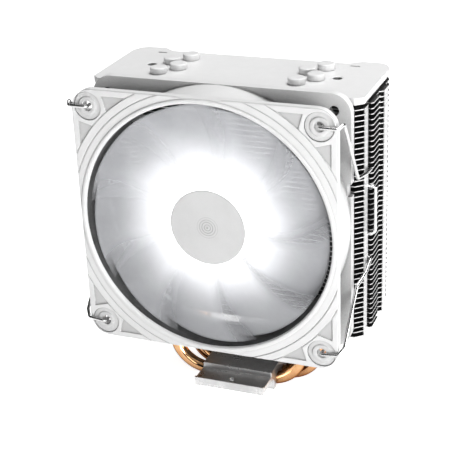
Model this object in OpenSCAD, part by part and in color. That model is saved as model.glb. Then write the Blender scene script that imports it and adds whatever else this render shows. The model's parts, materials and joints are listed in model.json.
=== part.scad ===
// Tower cooler for a desktop processor: a base with four bent heat pipes, a stack of thin fins,
// a top cover, and a lit fan held on by two bent wire clips.
// The origin is the middle of the contact face. X runs to the right, Y to the back, Z up.

/* [Overall] */
// Height from the contact face to the tops of the pipe caps
cooler_h = 157; // [145:1:190]
// Width of the fins across their plain side edges
fin_w = 126.6; // [124:0.2:152]
// Depth of the fins at their corners
fin_depth = 52; // [44:1:66]
// Height of the lowest fin above the contact face
fin_bottom_z = 40; // [34:1:48]

/* [Fins] */
// Thickness of one fin
fin_t = 0.4; // [0.3:0.05:0.6]
// Distance from one fin to the next
fin_pitch = 2.47; // [2:0.01:3.2]
// How far the fins step out past their plain side edges
fin_step = 1.7; // [1:0.1:2.5]
// How far the middle of the front and back edges is set in
fin_relief = 4; // [2:0.5:8]
// Height of the drawn collar round each pipe hole
collar_h = 1.5; // [0.5:0.1:1.6]
// Wall of the drawn collar
collar_wall = 0.5; // [0.3:0.1:0.8]
// Thickness of the fold tabs that space the fins
tab_t = 0.4; // [0.3:0.1:0.6]

/* [Top cover] */
// Depth of the cover's folded rim
cover_rim = 3; // [2:0.1:5]
// Wall of the cover
cover_wall = 1; // [0.6:0.1:1.5]
// Gap from the rim down to the top fin
cover_gap = 2.1; // [2:0.1:4]
// Distance between the two countersunk cover holes
cover_hole_span = 89.4; // [84:0.2:96]

/* [Heat pipes] */
// Diameter of a heat pipe
pipe_d = 6; // [5:0.1:7.2]
// Distance between neighbouring pipes, front to back
pipe_pitch = 7.75; // [7.4:0.05:9]
// Distance between the two legs of one pipe
leg_span = 65.8; // [58:0.2:80]
// Sideways offset of every other pipe
leg_shift = 3.2; // [3:0.1:5]
// Bend radius of a pipe at its middle line
bend_r = 17; // [12:0.5:20]
// How much of a pipe is milled away at the contact face
pipe_flat = 0.3; // [0.1:0.1:0.8]
// Diameter of a pipe cap
cap_d = 8; // [7.6:0.1:9]
// Height of a pipe cap above the cover
cap_h = 2.8; // [2.2:0.1:4]

/* [Base] */
// Width of the base, left to right
base_w = 35; // [30:1:44]
// Depth of the contact block, front to back
block_depth = 35; // [33:1:42]
// Height of the base's raised middle
base_h = 11.1; // [9.5:0.1:14]
// Depth of the raised middle, front to back
crown_depth = 43; // [40:1:48]
// Depth of the base over both flanges
base_depth = 66; // [60:1:74]
// Height of the flange's upper surface
flange_top_z = 8.8; // [8:0.1:9.2]
// Thickness of the flange
base_flange_t = 2.8; // [2:0.1:3.4]
// Tapped hole in each flange
base_hole_d = 2.5; // [2:0.1:3.3]
// Distance between the two tapped holes
base_hole_span = 57; // [52:0.5:60]

/* [Fan] */
// Width and height of the fan frame
fan_size = 120; // [100:1:144]
// Depth of the fan frame
fan_depth = 25; // [25:0.5:32]
// How far the fan stands above the top cover
fan_rise = 3.3; // [0:0.1:10]
// Thickness of the damping strips between fan and fins
strip_t = 1; // [0.6:0.1:2]
// Corner radius of the frame
frame_corner_r = 9; // [6:0.5:12]
// Thickness of the front and rear frame flanges
frame_flange_t = 4.2; // [3:0.1:5]
// Distance of the corner holes from the frame's edges
hole_inset = 7.5; // [7:0.1:9]
// Diameter of the corner holes
hole_d = 4.4; // [4.2:0.1:5]
// Width of the ring wall round the fan's opening
ring_wall = 2.3; // [1.8:0.1:3]
// Gap between the blade tips and the opening
tip_gap = 1.7; // [1:0.1:2.5]
// Number of fan blades
blade_count = 9; // [5:1:11]
// Thickness of a blade
blade_t = 1.2; // [0.8:0.1:1.6]
// Radius of the rotor hub
hub_r = 20.5; // [20:0.1:25]
// Number of lamps on the motor board
lamp_count = 4; // [2:1:6]

/* [Wire clips] */
// Diameter of the clip wire
wire_d = 1.5; // [1.2:0.1:1.8]
// Clearance round the wire in its groove
groove_gap = 0.3; // [0.2:0.05:0.4]
// How far the finger loop stands out of the groove
loop_out = 3.8; // [3:0.1:6]

/* [Hidden] */
$fn = 64;
eps = 0.01;
fit = 0.05;

// Heights and places of the stack
cover_top_z = cooler_h - cap_h;
cover_bottom_z = cover_top_z - cover_rim;
top_fin_z = cover_bottom_z - cover_gap - fin_t;
fin_count = floor((top_fin_z - fin_bottom_z) / fin_pitch) + 1;
fin_half = fin_w / 2;
fin_edge_y = fin_depth / 2;
relief_y = fin_edge_y - fin_relief;

// The four pipes, front to back; every other one is shifted the other way
pipe_r = pipe_d / 2;
pipe_z = pipe_r - pipe_flat;
pipe_top_z = cover_top_z + cap_h * 0.55;
function pipe_y(i) = (i - 1.5) * pipe_pitch;
function pipe_mid_x(i) = i % 2 == 0 ? -leg_shift : leg_shift;
function leg_x(i, side) = pipe_mid_x(i) + side * leg_span / 2;

// Fan places
fan_rear_y = -fin_edge_y - strip_t;
fan_front_y = fan_rear_y - fan_depth;
fan_z = cover_top_z + fan_rise - fan_size / 2;
fan_half = fan_size / 2;
hole_at = fan_half - hole_inset;
opening_r = fan_half - ring_wall;
tip_r = opening_r - tip_gap;

// Standing motor parts, measured from the fan's front face towards the back
base_plate_t = 3;
base_plate_z = fan_depth - base_plate_t;
base_rim_z = base_plate_z - 1.2;
base_rim_t = 1.3;
strut_w = 5;
label_recess = 0.5;
board_t = 1;
board_z = base_plate_z - 2;
board_r = hub_r - 1.7;
bush_r = 3.5;
tube_r = 5;
tube_front_z = 9;

// Rotor parts, measured the same way
face_z = 3;
hub_wall = 1.6;
hub_end_z = board_z - 1.4;
boss_r = 3;
boss_end_z = 7.6;
disc_r = hub_r - 2.9;
disc_t = 0.6;
hub_front_t = 1;
shaft_r = 1.5;
shaft_end_z = base_plate_z - 0.4;
clip_groove_z = shaft_end_z - 0.7;
clip_groove_w = 0.4;
clip_groove_depth = 0.3;
yoke_wall = 0.8;
yoke_r = hub_r - hub_wall - 0.1;
yoke_end_z = hub_end_z - 1.1;
magnet_r = yoke_r - yoke_wall - fit;
magnet_wall = 1.75;
magnet_front_z = 8.2;
magnet_inset = 0.5;

// Stator
air_gap = 0.5;
core_r = magnet_r - magnet_wall - air_gap;
core_z = 9.6;
core_t = 4.4;
core_ring = 2.6;
bobbin_t = 0.6;
neck_w = 4;
coil_build = 2;
shoe_t = 2;
shoe_gap = 2.4;

// Side steps of the fins, front to back: the front tab, then the step that the wire lies behind
tab_front_y = -fin_edge_y + 4;
tab_rear_y = -fin_edge_y + 8.8;
step_y = -fin_edge_y + 10.3;
side_tab_y = 3.8;
side_tab_w = 6.2;

// Wire clip places
wire_r = wire_d / 2;
wire_bend_r = 1.3;
wire_clear = 0.3;
groove_x = fin_half - wire_r - 0.15;
groove_y = step_y + wire_clear;
pass_x = fin_half + wire_r + 0.45;
arm_x = max(fan_half + 2.2, fin_half - 1);
hinge_y = fan_front_y + 0.5;
// The arms turn in beside the fan's rear flange, or behind it where the fan is wider than the fins
turn_in_y = fan_half > fin_half ? fan_rear_y + wire_r + wire_clear : fan_rear_y - 3.3;

// ---------- shared shapes ----------

// Places children with their Z axis along the fan's axis, front face at 0
module on_fan_axis() {
    translate([0, fan_front_y, fan_z]) rotate([-90, 0, 0]) children();
}

// A square block with round corners
module round_block(size, r, h) {
    translate([-size / 2 + r, -size / 2, 0]) cube([size - 2 * r, size, h]);
    translate([-size / 2, -size / 2 + r, 0]) cube([size, size - 2 * r, h]);
    for (sx = [-1, 1], sy = [-1, 1])
        translate([sx * (size / 2 - r), sy * (size / 2 - r), 0]) cylinder(r = r, h = h);
}

module tube(r_out, r_in, h) {
    difference() {
        cylinder(r = r_out, h = h);
        translate([0, 0, -1]) cylinder(r = r_in, h = h + 2);
    }
}

// Puts children at the four corner holes of the fan, in the fan's own frame
module at_corners() {
    for (sx = [-1, 1], sy = [-1, 1])
        translate([sx * hole_at, sy * hole_at, 0]) children();
}

// ---------- base and heat pipes ----------

// Side section of the base: y, z, from the front lip round to the back lip
module base_section() {
    lip_t = 1.2;
    lip_up = 0.9;
    lip_down = 0.5;
    front = base_depth / 2;
    crown = crown_depth / 2;
    block = block_depth / 2;
    under = flange_top_z - base_flange_t;
    half = [
        [block, 0], [block, under - 1], [block + 1, under],
        [front - lip_t, under], [front - lip_t, under - lip_down], [front, under - lip_down],
        [front, flange_top_z + lip_up], [front - lip_t, flange_top_z + lip_up],
        [front - lip_t, flange_top_z], [crown, flange_top_z], [crown - 0.5, base_h]
    ];
    mirrored = [for (i = [len(half) - 1:-1:0]) [-half[i][0], half[i][1]]];
    polygon(concat(half, mirrored));
}

module base_block() {
    color("silver") difference() {
        translate([-base_w / 2, 0, 0]) rotate([90, 0, 90]) linear_extrude(base_w) base_section();
        for (i = [0:3]) {
            pipe_path(i, pipe_r + fit);
            translate([-base_w / 2 - 1, pipe_y(i) - pipe_r - fit, -1])
                cube([base_w + 2, pipe_d + 2 * fit, pipe_z + 1]);
        }
        for (s = [-1, 1]) {
            translate([0, s * base_hole_span / 2, 0]) cylinder(d = base_hole_d, h = base_h);
            translate([0, s * base_hole_span / 2, flange_top_z - 0.3])
                cylinder(d1 = base_hole_d, d2 = base_hole_d + 0.8, h = 0.4);
        }
    }
}

// One bent pipe as two legs, two quarter bends and a straight run
module pipe_path(i, r) {
    top = pipe_top_z;
    z_bend = pipe_z + bend_r;
    for (side = [-1, 1])
        translate([leg_x(i, side), pipe_y(i), z_bend]) cylinder(r = r, h = top - z_bend);
    translate([leg_x(i, -1) + bend_r, pipe_y(i), pipe_z]) rotate([0, 90, 0])
        cylinder(r = r, h = leg_span - 2 * bend_r);
    translate([leg_x(i, -1) + bend_r, pipe_y(i), z_bend]) rotate([90, 0, 0])
        rotate([0, 0, 180]) rotate_extrude(angle = 90) translate([bend_r, 0]) circle(r = r);
    translate([leg_x(i, 1) - bend_r, pipe_y(i), z_bend]) rotate([90, 0, 0])
        rotate([0, 0, 270]) rotate_extrude(angle = 90) translate([bend_r, 0]) circle(r = r);
}

// A pipe, pressed square to fill its groove in the base and milled flush with the contact face
module heat_pipe(i) {
    run_start = max(-base_w / 2, leg_x(i, -1) + bend_r);
    run_end = min(base_w / 2, leg_x(i, 1) - bend_r);
    color("chocolate") difference() {
        union() {
            pipe_path(i, pipe_r);
            translate([run_start, pipe_y(i) - pipe_r, 0]) cube([run_end - run_start, pipe_d, pipe_z]);
        }
        translate([-leg_span, pipe_y(i) - pipe_d, -pipe_d]) cube([2 * leg_span, 2 * pipe_d, pipe_d]);
    }
}

module heat_pipe_1() heat_pipe(0);
module heat_pipe_2() heat_pipe(1);
module heat_pipe_3() heat_pipe(2);
module heat_pipe_4() heat_pipe(3);

// Caps over the pipe ends on one side of the cover
module pipe_caps(side) {
    crown = 0.3;
    color("whitesmoke") for (i = [0:3])
        translate([leg_x(i, side), pipe_y(i), cover_top_z]) difference() {
            union() {
                cylinder(d = cap_d, h = cap_h - crown);
                translate([0, 0, cap_h - crown]) cylinder(d1 = cap_d, d2 = cap_d - 1.6, h = crown);
            }
            translate([0, 0, -1]) cylinder(r = pipe_r + fit, h = 1 + pipe_top_z - cover_top_z + fit);
        }
}

module pipe_caps_left() pipe_caps(-1);
module pipe_caps_right() pipe_caps(1);

// ---------- fins and top cover ----------

// Right half of the outline from the front middle to the back middle; step is how far the
// side steps out between the tab seats
function half_outline(step) = [
    [0, -relief_y], [fin_half - 19.8, -relief_y], [fin_half - 14.8, -fin_edge_y],
    [fin_half - 3.3, -fin_edge_y], [fin_half, -fin_edge_y + 3.1],
    [fin_half, step_y], [fin_half + step, step_y + 2], [fin_half + step, -3.4],
    [fin_half, -3.4], [fin_half, 1.3], [fin_half + step, 2.7],
    [fin_half + step, 10.5], [fin_half, 12.5], [fin_half, 19], [fin_half - 2, fin_edge_y - 2.3],
    [fin_half - 4.9, fin_edge_y], [fin_half - 14.8, fin_edge_y], [fin_half - 19.8, relief_y],
    [0, relief_y]
];

module plan_outline(step) {
    right = half_outline(step);
    left = [for (i = [len(right) - 2:-1:1]) [-right[i][0], right[i][1]]];
    polygon(concat(right, left));
}

// Slots for the clip wires, cut along the way each wire swings out round its hinge
module wire_slots() {
    swing = atan2(groove_x - hole_at, groove_y - hinge_y);
    for (side = [0, 1])
        mirror([side, 0]) translate([groove_x, groove_y]) rotate(-swing)
            translate([-wire_r - groove_gap, -wire_r - groove_gap])
                square([wire_d + groove_gap + 3, wire_d + 2 * groove_gap]);
}

module fin(z) {
    hole_r = pipe_r + fit;
    tab_h = fin_pitch - fin_t - 0.06;
    translate([0, 0, z]) difference() {
        union() {
            linear_extrude(fin_t) difference() {
                plan_outline(fin_step);
                wire_slots();
            }
            for (i = [0:3], side = [-1, 1])
                translate([leg_x(i, side), pipe_y(i), fin_t / 2])
                    cylinder(r = hole_r + collar_wall, h = fin_t / 2 + collar_h);
            for (m = [0, 1]) mirror([m, 0, 0]) {
                translate([fin_half - tab_t + 0.1, tab_front_y, -tab_h])
                    cube([tab_t, tab_rear_y - tab_front_y, tab_h + fin_t]);
                translate([fin_half + fin_step - tab_t + 0.1, side_tab_y, -tab_h])
                    cube([tab_t, side_tab_w, tab_h + fin_t]);
            }
        }
        for (i = [0:3], side = [-1, 1])
            translate([leg_x(i, side), pipe_y(i), -1]) cylinder(r = hole_r, h = 4);
    }
}

// A run of fins, as shares of the whole stack from the bottom
module fin_run(from, to) {
    first = round(from * fin_count);
    last = round(to * fin_count) - 1;
    color("lightgray") for (k = [first:last]) fin(top_fin_z - (fin_count - 1 - k) * fin_pitch);
}

module cooling_fins_lower() fin_run(0, 1 / 3);
module cooling_fins_middle() fin_run(1 / 3, 2 / 3);
module cooling_fins_upper() fin_run(2 / 3, 1);

module top_cover() {
    hole_r = pipe_r + fit;
    inner = (fin_w - 2 * cover_wall) / fin_w;
    slot_w = 1.2;
    slot_len = 4.5;
    screw_d = 2.2;
    sink_d = 5.6;
    sink_depth = 0.8;
    color("white") difference() {
        translate([0, 0, cover_bottom_z]) linear_extrude(cover_rim) plan_outline(0);
        translate([0, 0, cover_bottom_z - 1]) linear_extrude(cover_rim - cover_wall + 1)
            scale([inner, inner]) plan_outline(0);
        for (i = [0:3], side = [-1, 1])
            translate([leg_x(i, side), pipe_y(i), cover_bottom_z])
                cylinder(r = hole_r, h = cover_rim + 1);
        for (side = [-1, 1]) {
            translate([side * cover_hole_span / 2, 0, cover_bottom_z])
                cylinder(d = screw_d, h = cover_rim + 1);
            translate([side * cover_hole_span / 2, 0, cover_top_z - sink_depth])
                cylinder(d1 = screw_d, d2 = sink_d, h = sink_depth + eps);
            for (s = [-1, 1])
                translate([side * (fin_half - 15.8) - slot_len / 2, s * 18.5 - slot_w / 2,
                           cover_bottom_z])
                    cube([slot_len, slot_w, cover_rim + 1]);
        }
    }
}

// ---------- fan frame ----------

// Two three-sided pockets beside each corner hole, placed from the corner
module corner_pockets(depth) {
    near = hole_inset - 5;
    inner = hole_inset + 2;
    mid = hole_inset + 7;
    tip = hole_inset + 18;
    for (turn = [0, 90, 180, 270]) rotate(turn)
        translate([fan_half, fan_half, -1]) linear_extrude(depth + 1) {
            polygon([[-inner, -mid - 2], [-near, -mid], [-near, -tip]]);
            polygon([[-mid - 2, -inner], [-mid, -near], [-tip, -near]]);
        }
}

module fan_frame() {
    lip = 0.4;
    bush_seat_r = bush_r + fit;
    color("white") on_fan_axis() {
        difference() {
            union() {
                round_block(fan_size, frame_corner_r, frame_flange_t);
                translate([0, 0, fan_depth - frame_flange_t])
                    round_block(fan_size, frame_corner_r, frame_flange_t);
                cylinder(r = fan_half - 0.2, h = fan_depth - 1);
                translate([0, 0, -lip]) cylinder(r = fan_half - 0.2, h = lip + 1);
            }
            translate([0, 0, -1]) cylinder(r = opening_r, h = fan_depth + 2);
            translate([0, 0, -lip - eps]) cylinder(r1 = opening_r + 0.9, r2 = opening_r, h = 1.6);
            at_corners() {
                translate([0, 0, -1]) cylinder(d = hole_d, h = fan_depth + 2);
                translate([0, 0, -1]) cylinder(r = 6.5, h = 2.2);
            }
            corner_pockets(0.6);
            for (r = [fan_half + 3.2, fan_half + 6.8])
                translate([0, 0, -0.1]) tube(r + 0.25, r - 0.25, 0.4);
            // Way out for the fan's lead, cut in the edge of the rear flange
            translate([fan_half - 1.6, -20, fan_depth - frame_flange_t - 1])
                cube([3, 6, frame_flange_t + 2]);
        }
        for (a = [45:90:315]) rotate(a)
            translate([hub_r - 1, -strut_w / 2, base_plate_z])
                cube([opening_r - hub_r + 2, strut_w, fan_depth - base_plate_z]);
        difference() {
            union() {
                translate([0, 0, base_plate_z]) cylinder(r = hub_r, h = fan_depth - base_plate_z);
                translate([0, 0, base_rim_z]) tube(hub_r, hub_r - base_rim_t, fan_depth - base_rim_z);
                translate([0, 0, tube_front_z]) cylinder(r = tube_r, h = fan_depth - tube_front_z);
                for (a = [0:120:240]) rotate(a)
                    translate([12, 0, board_z + board_t]) cylinder(r = 1.6, h = 2);
            }
            translate([0, 0, tube_front_z - 1]) cylinder(r = bush_seat_r, h = fan_depth);
            translate([0, 0, fan_depth - label_recess]) cylinder(r = hub_r - base_rim_t, h = 1);
        }
    }
}

module front_corner_pads() {
    color("gainsboro") on_fan_axis() at_corners() difference() {
        union() {
            translate([0, 0, 0.6]) cylinder(r = 6.3, h = 0.6);
            translate([0, 0, 0.1]) cylinder(r = 4.1, h = 0.8);
        }
        translate([0, 0, -1]) cylinder(d = hole_d, h = 4);
    }
}

// Soft strip between the fan's rear face and the fins' front corners
module damping_strip(side) {
    strip_w = 6;
    low = fin_bottom_z + 10;
    color("dimgray") translate([side * (fin_half - 9) - strip_w / 2, -fin_edge_y - strip_t, low])
        cube([strip_w, strip_t, top_fin_z - 5 - low]);
}

module damping_strip_left() damping_strip(-1);
module damping_strip_right() damping_strip(1);

// ---------- motor, standing parts ----------

module bearing_bush() {
    color("goldenrod") on_fan_axis() translate([0, 0, tube_front_z + 0.4])
        tube(bush_r, shaft_r + 0.04, clip_groove_z - 0.6 - tube_front_z - 0.4);
}

module bearing_cap() {
    cap_front = shaft_end_z + 0.3;
    color("white") on_fan_axis() translate([0, 0, cap_front])
        cylinder(r = bush_r, h = fan_depth - label_recess - 0.1 - cap_front);
}

module motor_board() {
    color("darkgreen") on_fan_axis() translate([0, 0, board_z])
        tube(board_r, tube_r + 0.2, board_t);
}

module driver_chip() {
    chip_t = 1.1;
    color("black") on_fan_axis() translate([-11.5, -2, board_z - chip_t]) cube([4, 5, chip_t]);
}

module hall_sensor() {
    color("black") on_fan_axis() translate([8.5, 2.5, board_z - 1.2]) cube([2.6, 2, 1.2]);
}

module lamps() {
    color("lightyellow") on_fan_axis() for (k = [0:lamp_count - 1])
        rotate(k * 360 / lamp_count + 20) translate([board_r - 2.4, -1.5, board_z - 0.9])
            cube([1.6, 3, 0.9]);
}

// Four poles with curved shoes on a round hub
module stator_core() {
    color("gray") on_fan_axis() translate([0, 0, core_z]) difference() {
        union() {
            cylinder(r = tube_r + core_ring, h = core_t);
            difference() {
                tube(core_r, core_r - shoe_t, core_t);
                for (a = [45, 135]) rotate(a)
                    translate([-core_r - 1, -shoe_gap / 2, -1])
                        cube([2 * core_r + 2, shoe_gap, core_t + 2]);
            }
            for (a = [0, 90]) rotate(a)
                translate([-core_r + shoe_t / 2, -neck_w / 2, 0])
                    cube([2 * core_r - shoe_t, neck_w, core_t]);
        }
        translate([0, 0, -1]) cylinder(r = tube_r + fit, h = core_t + 2);
    }
}

// Insulating cross that keeps the windings off the core
module bobbin(z) {
    color("ivory") on_fan_axis() translate([0, 0, z]) difference() {
        union() {
            cylinder(r = tube_r + core_ring - 0.2, h = bobbin_t);
            for (a = [0, 90]) rotate(a)
                translate([-core_r + 0.4, -neck_w / 2, 0])
                    cube([2 * core_r - 0.8, neck_w, bobbin_t]);
        }
        translate([0, 0, -1]) cylinder(r = tube_r + fit, h = bobbin_t + 2);
    }
}

module bobbin_front() bobbin(core_z - bobbin_t);
module bobbin_rear() bobbin(core_z + core_t);

module stator_coils() {
    inner = tube_r + core_ring + 0.4;
    half_w = neck_w / 2 + coil_build;
    shoe_r = core_r - shoe_t;
    outer = sqrt(shoe_r * shoe_r - half_w * half_w) - 0.1;
    neck_gap = 0.05;
    stack = core_t + 2 * bobbin_t;
    color("peru") on_fan_axis() for (a = [0:90:270]) rotate(a)
        translate([inner, 0, core_z - bobbin_t]) difference() {
            translate([0, -half_w, -coil_build / 2])
                cube([outer - inner, 2 * half_w, stack + coil_build]);
            translate([-1, -neck_w / 2 - neck_gap, -neck_gap])
                cube([outer - inner + 2, neck_w + 2 * neck_gap, stack + 2 * neck_gap]);
        }
}

// Blank round label on the back of the motor
module motor_label() {
    color("silver") on_fan_axis() translate([0, 0, fan_depth - label_recess])
        cylinder(r = hub_r - base_rim_t - 0.3, h = label_recess - 0.2);
}

// ---------- rotor ----------

// One blade: a curved sheet cut to a swept outline, running out along X
module blade() {
    camber_r = 30;
    lean = 34;
    inner_r = hub_r - 0.6;
    root_w = 19;
    tip_w = 26;
    intersection() {
        translate([0, 0, (face_z + hub_end_z) / 2 + 0.4]) rotate([lean, 0, 0])
            translate([inner_r, 0, -camber_r + 1.2]) rotate([0, 90, 0])
                tube(camber_r, camber_r - blade_t, tip_r);
        translate([0, 0, face_z + 0.9]) linear_extrude(hub_end_z - face_z - 1.6)
            polygon([
                [inner_r - 6, -root_w / 2], [tip_r + 4, -tip_w / 2 + 4],
                [tip_r + 4, tip_w / 2 + 2], [inner_r - 6, root_w / 2]
            ]);
    }
}

module impeller() {
    color("aliceblue") on_fan_axis() {
        difference() {
            translate([0, 0, face_z]) cylinder(r = hub_r, h = hub_end_z - face_z);
            translate([0, 0, face_z - 1]) cylinder(r = disc_r + 0.05, h = disc_t + 1);
            translate([0, 0, face_z + disc_t + hub_front_t])
                tube(hub_r - hub_wall, boss_r, fan_depth);
            translate([0, 0, boss_end_z]) cylinder(r = hub_r - hub_wall, h = fan_depth);
            translate([0, 0, face_z + disc_t + 0.6]) cylinder(r = shaft_r + eps, h = fan_depth);
        }
        intersection() {
            for (k = [0:blade_count - 1]) rotate(k * 360 / blade_count) blade();
            translate([0, 0, face_z]) tube(tip_r, hub_r - 0.5, hub_end_z - face_z);
        }
    }
}

module hub_disc() {
    color("gainsboro") on_fan_axis() translate([0, 0, face_z]) cylinder(r = disc_r, h = disc_t);
}

module rotor_yoke() {
    front = face_z + disc_t + hub_front_t + fit;
    color("dimgray") on_fan_axis() difference() {
        translate([0, 0, front]) cylinder(r = yoke_r, h = yoke_end_z - front);
        translate([0, 0, front + yoke_wall]) cylinder(r = yoke_r - yoke_wall, h = fan_depth);
        translate([0, 0, front - 1]) cylinder(r = boss_r + fit, h = 4);
    }
}

module magnet_ring() {
    color("black") on_fan_axis() translate([0, 0, magnet_front_z])
        tube(magnet_r, magnet_r - magnet_wall, yoke_end_z - magnet_front_z - magnet_inset);
}

module rotor_shaft() {
    front = face_z + disc_t + 0.7;
    color("silver") on_fan_axis() difference() {
        translate([0, 0, front]) cylinder(r = shaft_r, h = shaft_end_z - front);
        translate([0, 0, clip_groove_z])
            tube(shaft_r + 1, shaft_r - clip_groove_depth, clip_groove_w);
    }
}

module shaft_clip() {
    color("ivory") on_fan_axis() translate([0, 0, clip_groove_z + 0.02]) difference() {
        tube(2.9, shaft_r - clip_groove_depth + 0.03, clip_groove_w - 0.04);
        translate([0, -0.4, -1]) cube([4, 0.8, 3]);
    }
}

// ---------- wire clips ----------

// The right clip's bends, top to bottom: x, y, and height from the fan's centre
clip_points = [
    [hole_at, hinge_y + 2, hole_at],
    [hole_at, fan_front_y - wire_r - wire_clear, hole_at],
    [fan_half + 0.9, fan_front_y - wire_r - wire_clear, hole_at],
    [arm_x, fan_front_y + 2.3, hole_at + 1.3],
    [arm_x + 0.4, turn_in_y, 22.8],
    [pass_x, tab_front_y - 0.6, 22.5],
    [pass_x, groove_y, 22],
    [groove_x, groove_y, 20.2],
    [groove_x, groove_y, 13.6],
    [groove_x + loop_out, groove_y + 0.8, 13.2],
    [groove_x + loop_out, groove_y + 0.8, -8.6],
    [groove_x, groove_y, -9.6],
    [groove_x, groove_y, -19.6],
    [pass_x, groove_y, -21.6],
    [pass_x, tab_front_y - 0.6, -24.6],
    [arm_x + 0.4, fan_half > fin_half ? turn_in_y : turn_in_y - 1.4, -28],
    [arm_x, fan_front_y + 1.5, -hole_at + 3.6],
    [fan_half + 0.5, fan_front_y - wire_r - wire_clear, -hole_at + 0.9],
    [hole_at, fan_front_y - wire_r - wire_clear, -hole_at],
    [hole_at, hinge_y + 2, -hole_at]
];

// Length that a bend takes from each of the straight runs that meet at point k
function bend_reach(p, k) =
    let (u = unit(p[k] - p[k - 1]), v = unit(p[k + 1] - p[k]))
    k <= 0 || k >= len(p) - 1 ? 0 : wire_bend_r * tan(acos(u * v) / 2);

function unit(v) = v / norm(v);

// Round bar from one point to another
module bar(from, to, r) {
    run = to - from;
    translate(from) rotate([0, acos(run[2] / norm(run)), atan2(run[1], run[0])])
        cylinder(r = r, h = norm(run));
}

// A quarter-like bend at point b, on the way from a to c: a piece of a ring whose middle lies
// inside the corner
module wire_bend(a, b, c, r) {
    u = unit(b - a);
    v = unit(c - b);
    turn = acos(u * v);
    inward = unit(v - u);
    out_x = unit(-(inward - (inward * u) * u));
    out_z = cross(out_x, u);
    translate(b + inward * wire_bend_r / cos(turn / 2))
        rotate([atan2(u[2], out_z[2]), asin(-out_x[2]), atan2(out_x[1], out_x[0])])
            rotate_extrude(angle = turn) translate([wire_bend_r, 0]) circle(r = r);
}

// A bent wire through a list of points; each straight run ends just inside its bends, which are
// pressed very slightly thicker
module bent_wire(p, r) {
    last = len(p) - 1;
    overlap = 0.1;
    for (k = [0:last - 1]) {
        along = unit(p[k + 1] - p[k]);
        start = k == 0 ? 0 : bend_reach(p, k) - overlap;
        stop = k == last - 1 ? 0 : bend_reach(p, k + 1) - overlap;
        bar(p[k] + along * start, p[k + 1] - along * stop, r);
    }
    for (k = [1:last - 1]) wire_bend(p[k - 1], p[k], p[k + 1], r + 0.02);
}

module wire_clip(side) {
    color("silver") mirror([side < 0 ? 1 : 0, 0, 0]) translate([0, 0, fan_z])
        bent_wire(clip_points, wire_r);
}

module wire_clip_left() wire_clip(-1);
module wire_clip_right() wire_clip(1);

// ---------- what is drawn ----------

base_block();
heat_pipe_1();
heat_pipe_2();
heat_pipe_3();
heat_pipe_4();
cooling_fins_lower();
cooling_fins_middle();
cooling_fins_upper();
top_cover();
pipe_caps_left();
pipe_caps_right();
fan_frame();
front_corner_pads();
damping_strip_left();
damping_strip_right();
bearing_bush();
bearing_cap();
motor_board();
driver_chip();
hall_sensor();
lamps();
stator_core();
bobbin_front();
bobbin_rear();
stator_coils();
motor_label();
impeller();
hub_disc();
rotor_yoke();
magnet_ring();
rotor_shaft();
shaft_clip();
wire_clip_left();
wire_clip_right();
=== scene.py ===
"""Looks of a tower cooler: a lit fan in a white frame, clipped with bent wires to a stack of fins
on four copper pipes. Everything is in metres; X runs to the right, Y to the back and Z up."""

import json
import math

import bmesh
import bpy
import numpy as np
from mathutils import Matrix, Vector


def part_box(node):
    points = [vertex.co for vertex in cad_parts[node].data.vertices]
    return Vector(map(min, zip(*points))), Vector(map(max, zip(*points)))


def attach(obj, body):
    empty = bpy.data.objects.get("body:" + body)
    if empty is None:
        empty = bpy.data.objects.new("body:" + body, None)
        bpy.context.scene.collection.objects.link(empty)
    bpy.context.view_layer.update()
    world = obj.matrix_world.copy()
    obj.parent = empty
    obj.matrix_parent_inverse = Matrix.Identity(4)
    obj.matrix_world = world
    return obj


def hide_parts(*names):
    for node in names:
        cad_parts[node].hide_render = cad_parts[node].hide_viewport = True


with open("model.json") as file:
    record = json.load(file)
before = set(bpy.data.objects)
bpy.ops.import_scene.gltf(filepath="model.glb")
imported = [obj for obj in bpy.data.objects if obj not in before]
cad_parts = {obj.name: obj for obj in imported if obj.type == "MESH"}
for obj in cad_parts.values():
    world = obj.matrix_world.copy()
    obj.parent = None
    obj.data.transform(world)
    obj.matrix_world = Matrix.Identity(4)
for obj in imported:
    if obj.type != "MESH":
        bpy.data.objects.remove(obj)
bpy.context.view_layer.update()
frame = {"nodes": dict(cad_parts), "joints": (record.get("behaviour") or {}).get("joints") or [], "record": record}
nodes = frame["nodes"]
record = frame["record"]

MM = 0.001

# ---------- places taken from the frame ----------

JOINT = {joint["name"]: joint for joint in frame["joints"]}
FAN_FRONT = Vector(JOINT["fan_spin"]["pos_m"])
HUB_LOW, HUB_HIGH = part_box("hub_disc")
HUB_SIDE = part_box("impeller")[1].y - FAN_FRONT.y
HUB_FACE = HUB_LOW.y - FAN_FRONT.y
DISC_R = (HUB_HIGH.x - HUB_LOW.x) / 2
HUB_RIM = 2.9 * MM  # the hub's rounded rim, seen round the disc
HUB_R = DISC_R + HUB_RIM
TIP_R = (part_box("impeller")[1].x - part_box("impeller")[0].x) / 2
BLADES = 9
COVER_SCREW_X = 44.7 * MM
PAD_INSET = 7.5 * MM  # from the frame's sides to the middle of each corner hole
PIPE_R = 3 * MM


# ---------- meshes ----------

def new_piece(name, points, faces, material, body, stands_for=()):
    """A closed mesh object at the origin from whole arrays of points and faces, with its faces
    turned outwards. It rides on a body, and stands for the named CAD nodes, if any."""
    mesh = bpy.data.meshes.new(name)
    mesh.from_pydata(points.reshape(-1, 3), [], faces.tolist())
    mesh.polygons.foreach_set("use_smooth", np.ones(len(faces), bool))
    mesh.update()
    mesh.materials.append(material)
    piece = bpy.data.objects.new(name, mesh)
    bpy.context.scene.collection.objects.link(piece)
    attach(piece, body)
    if stands_for:
        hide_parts(*stands_for)
    work = bmesh.new()
    work.from_mesh(mesh)
    bmesh.ops.recalc_face_normals(work, faces=work.faces)
    work.to_mesh(mesh)
    work.free()
    return piece


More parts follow.
